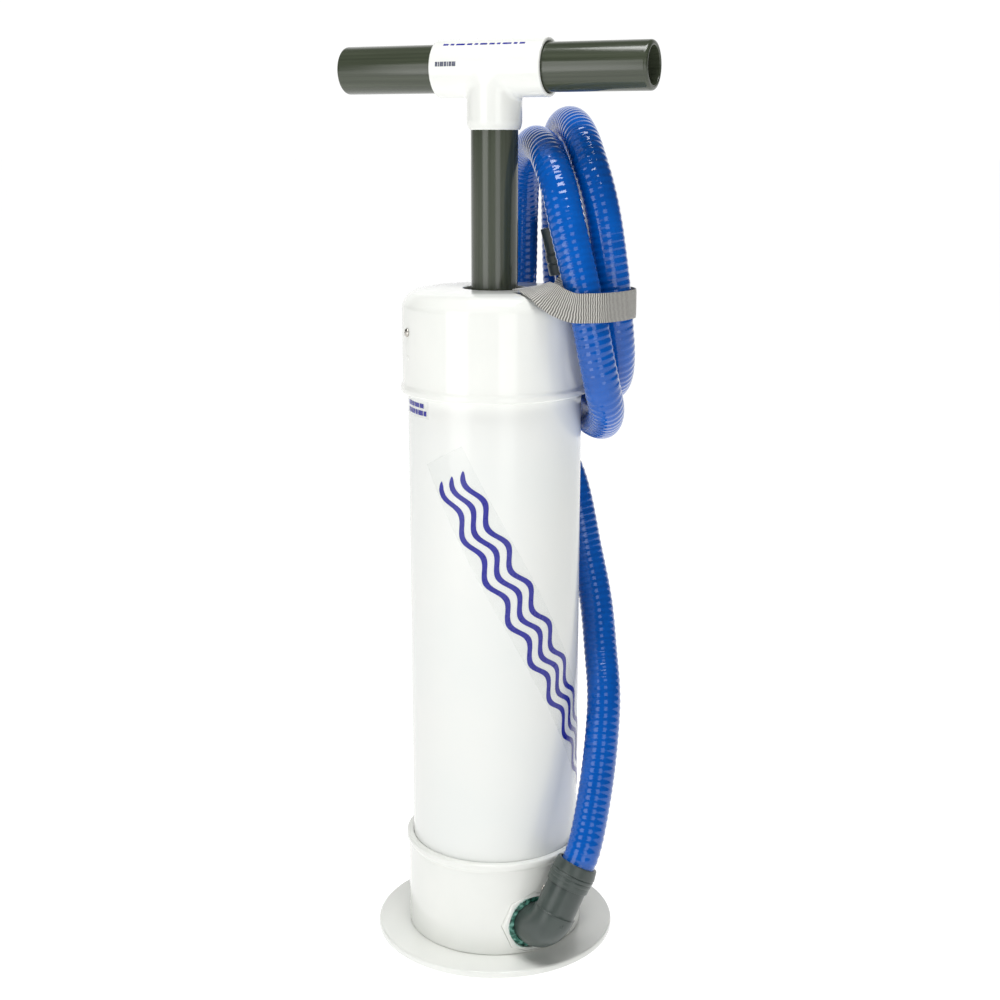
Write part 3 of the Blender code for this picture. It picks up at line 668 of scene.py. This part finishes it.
def smear(start, stop, width):
    """A thin ragged film of compound on the bushing's face, round its mouth."""
    shape = bmesh.new()
    columns, rows = 40, 6
    top, bottom = [], []
    for i in range(columns + 1):
        share = i / columns
        angle = math.radians(start + (stop - start) * share)
        swell = math.sin(math.pi * share) ** 0.5 * (0.7 + 0.6 * noise.noise((share * 7, start, 0)))
        line, under = [], []
        for k in range(rows + 1):
            radius = MOUTH_R + 0.00005 + (width * max(0.05, swell)) * k / rows
            lift = 0.00022 * math.sin(math.pi * min(0.97, 0.03 + k / rows)) * max(0.1, swell)
            place = Vector((radius * math.cos(angle), radius * math.sin(angle), HEAD_FACE + 0.00003 + lift))
            line.append(shape.verts.new(place))
            under.append(shape.verts.new(place - Vector((0, 0, lift + 0.0002))))
        top.append(line)
        bottom.append(under)
    for i in range(columns):
        for k in range(rows):
            shape.faces.new((top[i][k], top[i][k + 1], top[i + 1][k + 1], top[i + 1][k]))
            shape.faces.new((bottom[i][k], bottom[i + 1][k], bottom[i + 1][k + 1], bottom[i][k + 1]))
        for k in (0, rows):
            shape.faces.new((top[i][k], top[i + 1][k], bottom[i + 1][k], bottom[i][k]))
    for i in (0, columns):
        for k in range(rows):
            shape.faces.new((top[i][k], top[i][k + 1], bottom[i][k + 1], bottom[i][k]))
    mesh = bpy.data.meshes.new("smear")
    shape.to_mesh(mesh)
    shape.free()
    return finished(mesh)


def elbow():
    bend, spigot_r, leg_r, start = 0.0202, 0.0200, 0.0188, 0.0726
    out = Vector((0, 0, 1))
    leg = (leg_point(1) - leg_point(0)).normalized()
    path, radii = [out * start, out * (PORT_CORNER - bend - 0.004)], [spigot_r, spigot_r]
    steps = 28

    def on_bend(angle):
        return out * (PORT_CORNER - bend + bend * math.sin(angle)) + leg * bend * (1 - math.cos(angle))

    for i in range(steps + 1):
        path.append(on_bend(math.pi / 2 * i / steps))
        radii.append(spigot_r)
    for distance, radius in ((0.0212, spigot_r), (0.0214, 0.0203), (0.0219, 0.0203), (0.0221, 0.0196),
                             (0.0228, 0.0191), (0.025, leg_r), (0.040, leg_r), (ELBOW_LEG, leg_r)):
        path.append(leg_point(distance))
        radii.append(radius)
    path = np.array([tuple(point) for point in path])
    mesh = pipe_mesh(path, np.array(radii), path, np.array(radii) - 0.0035, 72)
    add_piece("outlet_elbow_fitting", mesh, PAINTS["grey_fitting"], "pump_body",
              ["outlet_elbow"], PORT)
    heel = math.radians(82)
    away = (out * math.sin(heel) - leg * math.cos(heel)).normalized()
    nub = lathe([(0, 0.0005), (0.0016, 0.0006, 0.0003), (0.0021, -0.0006), (0, -0.0006)], 24, False)
    add_piece("elbow_gate_mark", nub, PAINTS["grey_fitting"], "pump_body", (),
              PORT @ along_axis(on_bend(heel) + away * spigot_r, away))


def hose_cuff():
    """The ribbed cuff where the hose enters the elbow. Local +Z runs up the hose."""
    low_bore, high_bore, step = 0.0188 + 0.0003, HOSE_R + 0.0008, ELBOW_LEG + 0.0003
    root, band_low = 0.0201, 0.0625
    corners = [(high_bore, CUFF_HIGH, 0.0004), (0.0194, CUFF_HIGH, 0.0007),
               (0.0212, band_low + 0.0006, 0.0007), (root, band_low - 0.0002, 0.0003)]
    for i in range(3):
        ridge, radius = band_low - 0.0004 - 0.004 * i, 0.0209 - 0.0003 * i
        corners += [(radius, ridge - 0.0006, 0.0005), (radius, ridge - 0.0026, 0.0006),
                    (root, ridge - 0.0036, 0.0003)]
    corners += [(root, CUFF_LOW, 0.0005), (low_bore, CUFF_LOW), (low_bore, step), (high_bore, step)]
    top = PORT @ along_axis(leg_point(0), leg_point(1) - leg_point(0))
    add_piece("hose_cuff_ribbed", lathe(corners, 96), PAINTS["grey_fitting"], "pump_body",
              ["hose_cuff"], top)


# Hose
def hose_points():
    places = (RISER + FIRST_LOOP_TOP + FIRST_STRAND + FIRST_LOOP_BOTTOM + SECOND_RISE
              + SECOND_LOOP_TOP + SECOND_STRAND + SECOND_LOOP_BOTTOM + FREE_END)
    start = [PORT @ leg_point(distance) for distance in (ELBOW_LEG + 0.0006, HOSE_STRAIGHT)]
    return start + metres(places)


def hose():
    """The hose, with a shallow rib that winds round it."""
    sides, samples = 40, 8
    points = hose_points()
    counts = [max(1, round((stop - start).length / 0.004)) for start, stop in zip(points, points[1:])]
    path = even_path(catmull_rom(points, counts), RIB_PITCH / samples)
    angles = np.linspace(0, 2 * math.pi, sides, endpoint=False)
    turns = lengths_along(path)[:, None] / RIB_PITCH * 2 * math.pi - angles[None]
    crest = (0.5 + 0.5 * np.cos(turns)) ** 0.9
    radii = HOSE_R - RIB_DEPTH * (1 - crest)
    inner = np.concatenate([path[:-1:samples], path[-1:]])
    mesh = pipe_mesh(path, radii, inner, HOSE_BORE, sides)
    add_piece("ribbed_hose", mesh, PAINTS["hose_blue"], "pump_body", ["hose"])


def hose_end_cuff():
    points = hose_points()
    axis = (points[-1] - points[-2]).normalized()
    length, throat, bore = 0.046, 0.0328, HOSE_R + 0.0008
    tip_bore, tip_r, groove_r, band_r = 0.0150, 0.0192, 0.0198, 0.0204
    corners = [(tip_bore, length, 0.0010), (tip_r, length, 0.0014), (tip_r, 0.0215, 0.0008),
               (band_r, 0.0190, 0.0008), (band_r, 0.0130, 0.0004), (groove_r, 0.0122, 0.0003),
               (groove_r, 0.0110, 0.0003), (band_r, 0.0102, 0.0004), (band_r, 0, 0.0010), (bore, 0),
               (bore, throat), (tip_bore, throat)]
    place = along_axis(points[-1] - axis * 0.032, axis)
    add_piece("hose_end_fitting", lathe(corners, 96), PAINTS["grey_fitting"], "pump_body",
              ["hose_end_cuff"], place)


# Strap
def strap():
    """One length of webbing whose ribs run across it, thinner at its woven edges."""
    columns, step = 25, WEAVE_PITCH / 6
    centres = metres([place for place, _ in STRAP_PATH])
    counts = [max(1, round((stop - start).length / step)) for start, stop in zip(centres, centres[1:])]
    path = catmull_rom(centres, counts)
    edge = catmull_rom([Vector(top).normalized() for _, top in STRAP_PATH], counts)
    ahead = unit(np.gradient(path, axis=0))
    edge = unit(edge - ahead * np.sum(edge * ahead, 1, keepdims=True))
    normal = np.cross(ahead, edge)
    along = lengths_along(path)[:, None]
    across = np.linspace(-1, 1, columns)[None]
    slant = 0.5 * np.sin(across * math.pi * 4)
    crest = 0.5 + 0.5 * np.cos(2 * math.pi * along / WEAVE_PITCH + slant)
    rib = 0.00032 * (crest ** 0.7 - 0.6)
    half = STRAP_T / 2 * (1 - 0.45 * across ** 8) - 0.0001
    flat = path[:, None] + edge[:, None] * across[..., None] * STRAP_WIDTH / 2
    front = flat + normal[:, None] * (half + rib)[..., None]
    back = flat - normal[:, None] * (half + rib)[..., None]
    rows = np.concatenate([front, back[:, ::-1]], 1)
    faces = grid_faces(len(path), 2 * columns)
    last = (len(path) - 1) * 2 * columns
    for k in range(columns - 1):
        far = 2 * columns - 1 - k
        faces.append((k + 1, k, far, far - 1))
        faces.append((last + k, last + k + 1, last + far - 1, last + far))
    mesh = bpy.data.meshes.new("strap")
    mesh.from_pydata(rows.reshape(-1, 3).tolist(), [], faces)
    # The rib crests are stored for the webbing's painted light: lighter crests as a painted highlight, darker
    # grooves as painted shade.
    rib_highlight_and_shade = mesh.attributes.new("rib_highlight_and_shade", "FLOAT", "POINT")
    rib_highlight_and_shade.data.foreach_set("value", np.concatenate([crest, crest[:, ::-1]], 1).astype(np.float32).ravel())
    add_piece("webbing_strap", finished(mesh, 60), PAINTS["webbing"], "pump_body", ["hose_strap"])


# Rod and handle
def rod():
    low, high = ROD_LOW.z, ROD_HIGH.z
    corners = [(PIPE_R, high), (PIPE_R, low), (PIPE_BORE, low), (PIPE_BORE, high)]
    add_piece("plunger_rod", lathe(corners, 128), PAINTS["grey_pipe"], "rod_and_handle",
              ["pump_rod"])


def tee_distance(places):
    """Distance from the tee's outside, whose stem runs smoothly into its barrel. Z is up here."""
    x, y, z = places.T
    rim = 0.0008 * np.clip((np.abs(x) - TEE_HALF + 0.0008) / 0.0008, 0, 1) ** 2
    barrel_side = np.maximum(np.hypot(y, z) - TEE_R + rim, np.abs(x) - TEE_HALF)
    length = HANDLE_Z - TEE_LOW.z
    taper = 0.0022 * np.clip((-z - length + 0.008) / 0.008, 0, 1) ** 2
    stem = np.maximum(np.maximum(np.hypot(x, y) - TEE_STEM_R + taper, z), -z - length)
    blend = 0.0036
    share = np.clip(0.5 + 0.5 * (stem - barrel_side) / blend, 0, 1)
    return stem * (1 - share) + barrel_side * share - blend * share * (1 - share)


def tee():
    """The moulded tee: a voxel mesh pulled onto its exact outside, with its bores cut."""
    length = HANDLE_Z - TEE_LOW.z
    crosswise = lathe([(0, TEE_HALF), (TEE_R, TEE_HALF), (TEE_R, -TEE_HALF), (0, -TEE_HALF)], 96, False)
    crosswise.transform(Matrix.Rotation(math.pi / 2, 4, "Y"))
    down = lathe([(0, 0), (TEE_STEM_R, 0), (TEE_STEM_R, -length), (0, -length)], 96, False)
    mesh = combined(crosswise, down, operation="UNION")
    solid = bpy.data.objects.new("solid", mesh)
    bpy.context.scene.collection.objects.link(solid)
    remesh = solid.modifiers.new("Voxels", "REMESH")
    remesh.mode = "VOXEL"
    remesh.voxel_size = 0.0009
    graph = bpy.context.evaluated_depsgraph_get()
    mesh = bpy.data.meshes.new_from_object(solid.evaluated_get(graph))
    bpy.data.objects.remove(solid)
    places = np.array([vertex.co for vertex in mesh.vertices], float)
    reach = 0.00005
    for _ in range(8):
        away = tee_distance(places)
        slope = np.stack([(tee_distance(places + step) - tee_distance(places - step)) / (2 * reach)
                          for step in np.eye(3) * reach], 1)
        places -= slope * (away / np.maximum(np.sum(slope ** 2, 1), 0.25))[:, None]
    mesh.vertices.foreach_set("co", places.astype(np.float32).ravel())
    socket, flare, beyond = PIPE_R + 0.0004, PIPE_R + 0.0016, 0.07
    across_bore = lathe([(0, beyond), (flare, beyond), (flare, TEE_HALF, 0.0002), (socket, TEE_HALF - 0.0015),
                         (socket, GRIP_INNER), (TEE_WAIST_R, GRIP_INNER), (TEE_WAIST_R, -GRIP_INNER),
                         (socket, -GRIP_INNER), (socket, 0.0015 - TEE_HALF), (flare, -TEE_HALF, 0.0002),
                         (flare, -beyond), (0, -beyond)], 96, False)
    across_bore.transform(Matrix.Rotation(math.pi / 2, 4, "Y"))
    shaft = ROD_HIGH.z - HANDLE_Z + 0.0003
    down_flare = socket + 0.001
    down_bore = lathe([(0, 0), (TEE_WAIST_R, 0), (TEE_WAIST_R, shaft), (socket, shaft),
                       (socket, 0.0012 - length), (down_flare, -length), (down_flare, -beyond),
                       (0, -beyond)], 96, False)
    mesh = combined(mesh, across_bore, down_bore)
    add_piece("handle_tee_fitting", mesh, PAINTS["moulded_white"], "rod_and_handle",
              ["handle_tee"], TEE_PLACE)


def grips():
    corners = [(PIPE_R, GRIP_OUTER, 0.0032), (PIPE_R, GRIP_INNER), (PIPE_BORE, GRIP_INNER),
               (PIPE_BORE, GRIP_OUTER, 0.0012)]
    for name, turn in (("right_grip", 0), ("left_grip", math.pi)):
        add_piece(name + "_pipe", lathe(corners, 128), PAINTS["grey_pipe"], "rod_and_handle",
                  [name], HANDLE @ Matrix.Rotation(turn, 4, "Y"))


# Decal
def on_barrel(radius, around, height):
    """A point on the barrel's side, around from the front along its surface and towards +X."""
    azimuth = around / TUBE_R
    return radius * math.sin(azimuth), -radius * math.cos(azimuth), height


def on_tee(radius, along, around):
    """A point on the tee's crosspiece, around from its top along its surface and to the front."""
    angle = around / TEE_R
    return along, -radius * math.sin(angle), radius * math.cos(angle)


def wrapped_sheets(patches, place, low_r, high_r):
    """Thin closed sheets on a round surface, each from rows of (distance round, length) points."""
    shape = bmesh.new()
    for rows in patches:
        layers = [[[shape.verts.new(place(radius, *point)) for point in row] for row in rows]
                  for radius in (high_r, low_r)]
        count, columns = len(rows), len(rows[0])
        for layer in layers:
            for i in range(count - 1):
                for k in range(columns - 1):
                    shape.faces.new((layer[i][k], layer[i][k + 1], layer[i + 1][k + 1], layer[i + 1][k]))
        rim = [(0, k) for k in range(columns - 1)] + [(i, columns - 1) for i in range(count - 1)]
        rim += [(count - 1, k) for k in range(columns - 1, 0, -1)] + [(i, 0) for i in range(count - 1, 0, -1)]
        for (i, k), (j, m) in zip(rim, rim[1:] + rim[:1]):
            shape.faces.new((layers[0][i][k], layers[0][j][m], layers[1][j][m], layers[1][i][k]))
    mesh = bpy.data.meshes.new("sheets")
    shape.to_mesh(mesh)
    shape.free()
    return finished(mesh)


def patch(start, stop, low, high, columns=6, rows=2):
    """Rows of points that fill a rectangle on an unrolled surface."""
    return [[(start + (stop - start) * k / columns, low + (high - low) * i / rows)
             for k in range(columns + 1)] for i in range(rows + 1)]


def dashes(start, stop, low, high, lengths, gap):
    """Plain dashes of different lengths in one row. They are not letters."""
    share = (stop - start - gap * (len(lengths) - 1)) / sum(lengths)
    patches = []
    for length in lengths:
        patches.append(patch(start, start + length * share, low, high, 3))
        start += length * share + gap
    return patches


def slanted(start, angle, along, across):
    """A point on the unrolled barrel, from a slanted strip's own length and width."""
    return (start[0] + along * math.cos(angle) - across * math.sin(angle),
            start[1] - along * math.sin(angle) - across * math.cos(angle))


def decal():
    """A clear film laid slantwise on the barrel, with three plain wavy lines on it and no lettering."""
    start, angle, length, width, margin = (-0.049, 0.485), math.radians(62), 0.395, 0.044, 0.020
    rows = [[slanted(start, angle, length * i / 80, width * (k / 8 - 0.5)) for k in range(9)]
            for i in range(81)]
    film = wrapped_sheets([rows], on_barrel, TUBE_R - 0.0002, TUBE_R + 0.00015)
    add_piece("barrel_film", film, PAINTS["clear_film"], "pump_body")
    waves = []
    for offset in (-0.0125, 0, 0.0125):
        rows = []
        for i in range(241):
            share = i / 240
            sway = 0.0045 * math.sin(2 * math.pi * share * WAVES)
            half = 0.0027 * min(1, math.sqrt(1 - (2 * share - 1) ** 2) * 4 + 0.02)
            place = margin + (length - 2 * margin) * share
            rows.append([slanted(start, angle, place, offset + sway + half * (k / 2 - 1)) for k in range(5)])
        waves.append(rows)
    mesh = wrapped_sheets(waves, on_barrel, TUBE_R + 0.0001, TUBE_R + 0.00028)
    add_piece("barrel_wave_lines", mesh, PAINTS["blue_ink"], "pump_body")


def small_marks():
    """A small film with two rows of plain dashes below the top cap, and plain ink marks on the tee."""
    film = wrapped_sheets([patch(-0.110, -0.066, 0.5155, 0.5315, 24, 4)], on_barrel, TUBE_R - 0.0002,
                          TUBE_R + 0.00012)
    add_piece("label_film", film, PAINTS["clear_film"], "pump_body")
    rows = (dashes(-0.106, -0.073, 0.5245, 0.5285, (5, 2, 4, 3), 0.0012)
            + dashes(-0.106, -0.069, 0.5178, 0.5222, (3, 5, 2, 4, 2), 0.0012))
    add_piece("label_dashes", wrapped_sheets(rows, on_barrel, TUBE_R + 0.00008, TUBE_R + 0.00022),
              PAINTS["blue_ink"], "pump_body")
    top_line = dashes(-0.042, 0.036, 0.0160, 0.0182, (3, 2, 5, 3, 2, 4, 3, 2, 5, 2, 3), 0.0022)
    stamp = dashes(-0.046, -0.026, 0.0346, 0.0386, (2, 1, 3, 2, 1, 2, 3), 0.0005)
    for name, marks, paint in (("tee_top_marks", top_line, "blue_ink"), ("tee_stamp", stamp, "black_ink")):
        mesh = wrapped_sheets(marks, on_tee, TEE_R - 0.0003, TEE_R + 0.00012)
        add_piece(name, mesh, PAINTS[paint], "rod_and_handle", (), TEE_PLACE)


# Stage
def floor():
    mesh = bpy.data.meshes.new("floor")
    shape = bmesh.new()
    bmesh.ops.create_grid(shape, x_segments=2, y_segments=2, size=60)
    shape.to_mesh(mesh)
    shape.free()
    ground = bpy.data.objects.new("floor", mesh)
    bpy.context.scene.collection.objects.link(ground)
    paint = Paint("pale_floor")
    paint.colour(paint.noise(0.8, 2), (0.3, (0.32, 0.32, 0.32)), (0.7, (0.34, 0.34, 0.34)))
    paint.shader.inputs["Roughness"].default_value = 1.0
    paint.shader.inputs["Specular IOR Level"].default_value = 0.0
    paint.shader.inputs["Emission Color"].default_value = (1, 1, 1, 1)
    paint.shader.inputs["Emission Strength"].default_value = 0.95
    mesh.materials.append(paint.material)


def world():
    """A white studio that lights the pump mostly from behind, so that its sides stay crisp."""
    sky = bpy.data.worlds.new("studio")
    sky.use_nodes = True
    tree = sky.node_tree
    place = tree.nodes.new("ShaderNodeTexCoord")
    split = tree.nodes.new("ShaderNodeSeparateXYZ")
    shift = tree.nodes.new("ShaderNodeMapRange")
    shift.inputs["From Min"].default_value = -1
    ramp = tree.nodes.new("ShaderNodeValToRGB")
    tree.links.new(place.outputs["Generated"], split.inputs[0])
    tree.links.new(split.outputs["Y"], shift.inputs["Value"])
    tree.links.new(shift.outputs["Result"], ramp.inputs["Fac"])
    ramp.color_ramp.elements.new(0.8)
    for element, (position, level) in zip(ramp.color_ramp.elements, ((0, 0.1), (0.8, 0.08), (0.93, 1.05))):
        element.position = position
        element.color = (level, level, level, 1)
    rays = tree.nodes.new("ShaderNodeLightPath")
    shown = tree.nodes.new("ShaderNodeMath")
    shown.operation = "MAXIMUM"
    tree.links.new(ramp.outputs["Color"], shown.inputs[0])
    tree.links.new(rays.outputs["Is Camera Ray"], shown.inputs[1])
    tree.links.new(shown.outputs[0], tree.nodes["Background"].inputs["Color"])
    bpy.context.scene.world = sky


def softbox(name, place, aim, width, height, power):
    """A rectangular lamp that lights and is mirrored but isn't seen itself."""
    data = bpy.data.lights.new(name, "AREA")
    data.shape = "RECTANGLE"
    data.size, data.size_y, data.energy = width, height, power
    lamp = bpy.data.objects.new(name, data)
    bpy.context.scene.collection.objects.link(lamp)
    lamp.location = place
    lamp.rotation_euler = (Vector(place) - Vector(aim)).to_track_quat("Z", "Y").to_euler()
    lamp.visible_camera = False


def camera():
    data = bpy.data.cameras.new("camera")
    data.lens = 55.57
    data.sensor_width = 36
    eye = bpy.data.objects.new("camera", data)
    bpy.context.scene.collection.objects.link(eye)
    eye.location = (0.00487, -1.4084, 0.7592)
    eye.rotation_euler = (math.radians(76.82), 0, 0)
    bpy.context.scene.camera = eye


def stage():
    floor()
    world()
    softbox("softbox_left", (-1.44, -1.39, 0.75), (0, 0, 0.4), 1.0, 1.6, 11.5)
    softbox("softbox_front", (0.55, -1.92, 0.75), (0, 0, 0.4), 0.8, 1.6, 7)
    softbox("overhead", (0, -0.5, 3.4), (0, 0, 0.5), 1.8, 1.4, 76)
    camera()
    bpy.context.scene.view_settings.view_transform = "Standard"


def paint_frame_nodes():
    """The CAD nodes that stay, each in a procedural material."""
    kinds = {
        "cast_white": ("piston_upper_plate", "piston_lower_plate", "rod_end_plug"),
        "rubber": ("bottom_bumper", "inlet_flap", "outlet_flap", "piston_cup_seal"),
        "steel": ("inlet_flap_retainer", "inlet_flap_sleeve", "outlet_flap_pin", "piston_bolt",
                  "piston_lock_nut", "flange_screw_1", "flange_screw_2", "flange_screw_3", "flange_screw_4")}
    for paint, nodes in kinds.items():
        for node in nodes:
            frame["nodes"][node].material_slots[0].material = PAINTS[paint]


for make_part in (base_flange, base_cap, barrel, top_cap, screws, bushing, sealing_ring, elbow, hose_cuff,
                  hose, hose_end_cuff, strap, rod, tee, grips, decal, small_marks, paint_frame_nodes, stage):
    make_part()
